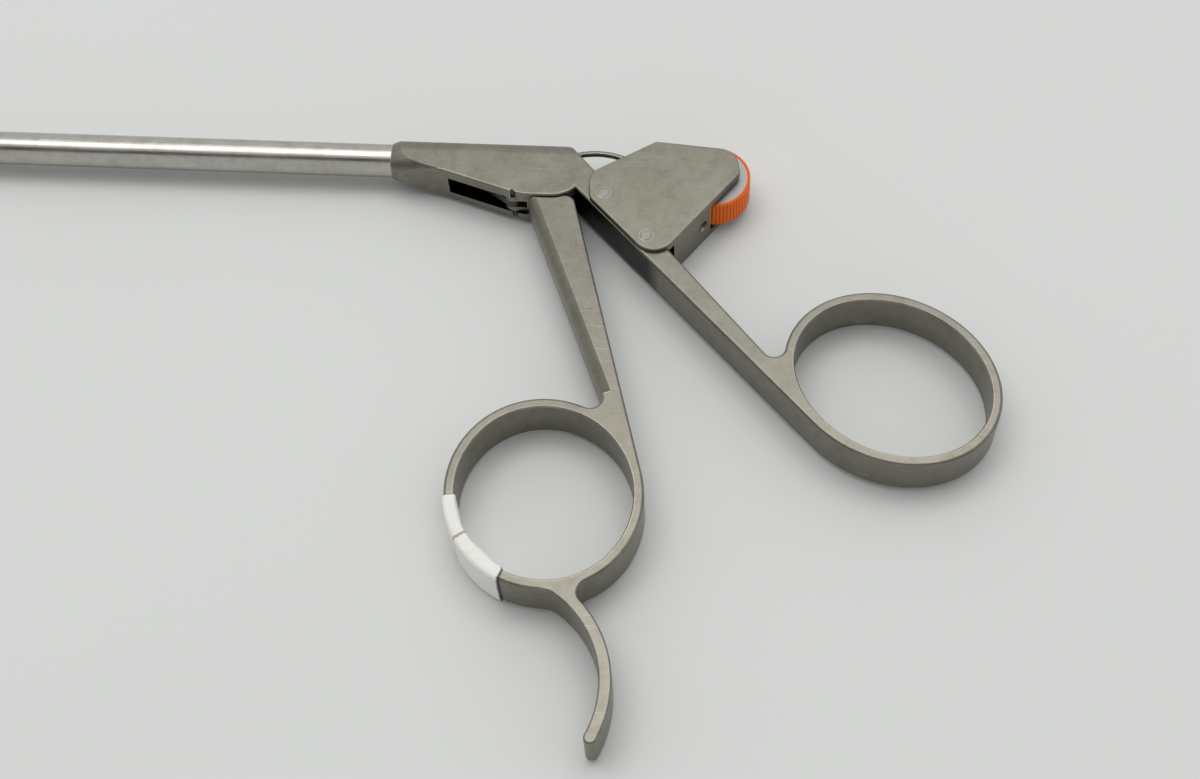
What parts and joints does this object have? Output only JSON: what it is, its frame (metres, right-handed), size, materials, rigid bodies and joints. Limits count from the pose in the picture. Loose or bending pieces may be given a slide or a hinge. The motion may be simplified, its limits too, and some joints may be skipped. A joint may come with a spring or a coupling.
{
  "type": "arthroscopic suture punch",
  "caption": "Hand punch with finger rings, a straight tubular shaft, rod-driven toothed jaw over a hollow needle, and a thumb wheel that feeds suture through the shaft.",
  "frame": {"origin": "on the shaft axis, at the face of the nose where the tube leaves the frame", "axes": "+X along the shaft towards the handles (the jaws are at -X), +Y from the handles up to the back of the frame, +Z across the instrument, along every hinge pin"},
  "size_m": [0.2189, 0.1037, 0.0081],
  "materials": {
    "forged_steel": "satin, worn",
    "handle_steel": "satin, worn",
    "tube_steel": "drawn and polished",
    "plate_steel": "fine bead-blast",
    "jaw_steel": "satin",
    "pin_steel": "polished",
    "hub_aluminium": "turned",
    "orange_tyre": "ribbed",
    "roller_plastic": "plain",
    "spacer_plastic": "plain",
    "tape_upper": "wrapped tape",
    "tape_lower": "wrapped tape"
  },
  "bodies": {
    "frame_body": {"frame": "forged_steel", "shaft_tube": "tube_steel", "lower_jaw": "jaw_steel", "suture_needle": "pin_steel", "jaw_pivot_pin": "pin_steel", "handle_pivot_pin": "pin_steel", "roller_housing": "plate_steel", "housing_pins": "pin_steel", "wheel_axle": "pin_steel", "roller_axle": "pin_steel", "suture_guide_tube": "tube_steel", "rod_spacers": "spacer_plastic"},
    "handle_body": {"front_handle": "handle_steel", "tang_link_pin": "pin_steel", "ring_tape_upper": "tape_upper", "ring_tape_lower": "tape_lower"},
    "rod_body": {"actuating_rod": "tube_steel", "rod_pin": "pin_steel", "jaw_drive_pin": "pin_steel"},
    "link_body": {"rod_link": "forged_steel"},
    "upper_jaw_body": {"upper_jaw": "jaw_steel"},
    "wheel_body": {"drive_wheel_hub": "hub_aluminium", "drive_wheel_tyre": "orange_tyre"},
    "pinch_body": {"pinch_roller": "roller_plastic"}
  },
  "joints": [
    {"name": "handle_hinge", "type": "hinge", "parent": "frame_body", "child": "handle_body", "pos_m": [0.0246, -0.0029, 0], "axis": [0, 0, 1], "range_deg": [0, 10]},
    {"name": "rod_slide", "type": "slide", "parent": "frame_body", "child": "rod_body", "axis": [1, 0, 0], "range_m": [0, 0.0013]},
    {"name": "link_hinge", "type": "hinge", "parent": "rod_body", "child": "link_body", "pos_m": [0.0095, 0, 0], "axis": [0, 0, 1], "range_deg": [-6, 0]},
    {"name": "jaw_hinge", "type": "hinge", "parent": "frame_body", "child": "upper_jaw_body", "pos_m": [-0.113, 0.0016, 0], "axis": [0, 0, 1], "range_deg": [0, 44]},
    {"name": "wheel_spin", "type": "hinge", "parent": "frame_body", "child": "wheel_body", "pos_m": [0.04845, -0.00267, 0], "axis": [0, 0, 1], "continuous": true},
    {"name": "pinch_spin", "type": "hinge", "parent": "frame_body", "child": "pinch_body", "pos_m": [0.04156, -0.00588, 0], "axis": [0, 0, 1], "continuous": true}
  ],
  "couplings": [
    {"joint": "rod_slide", "follows": "handle_hinge", "m_per_rad": 0.007437},
    {"joint": "link_hinge", "follows": "handle_hinge", "ratio": -0.5954},
    {"joint": "jaw_hinge", "follows": "handle_hinge", "ratio": 4.4},
    {"joint": "pinch_spin", "follows": "wheel_spin", "ratio": -2.725}
  ]
}
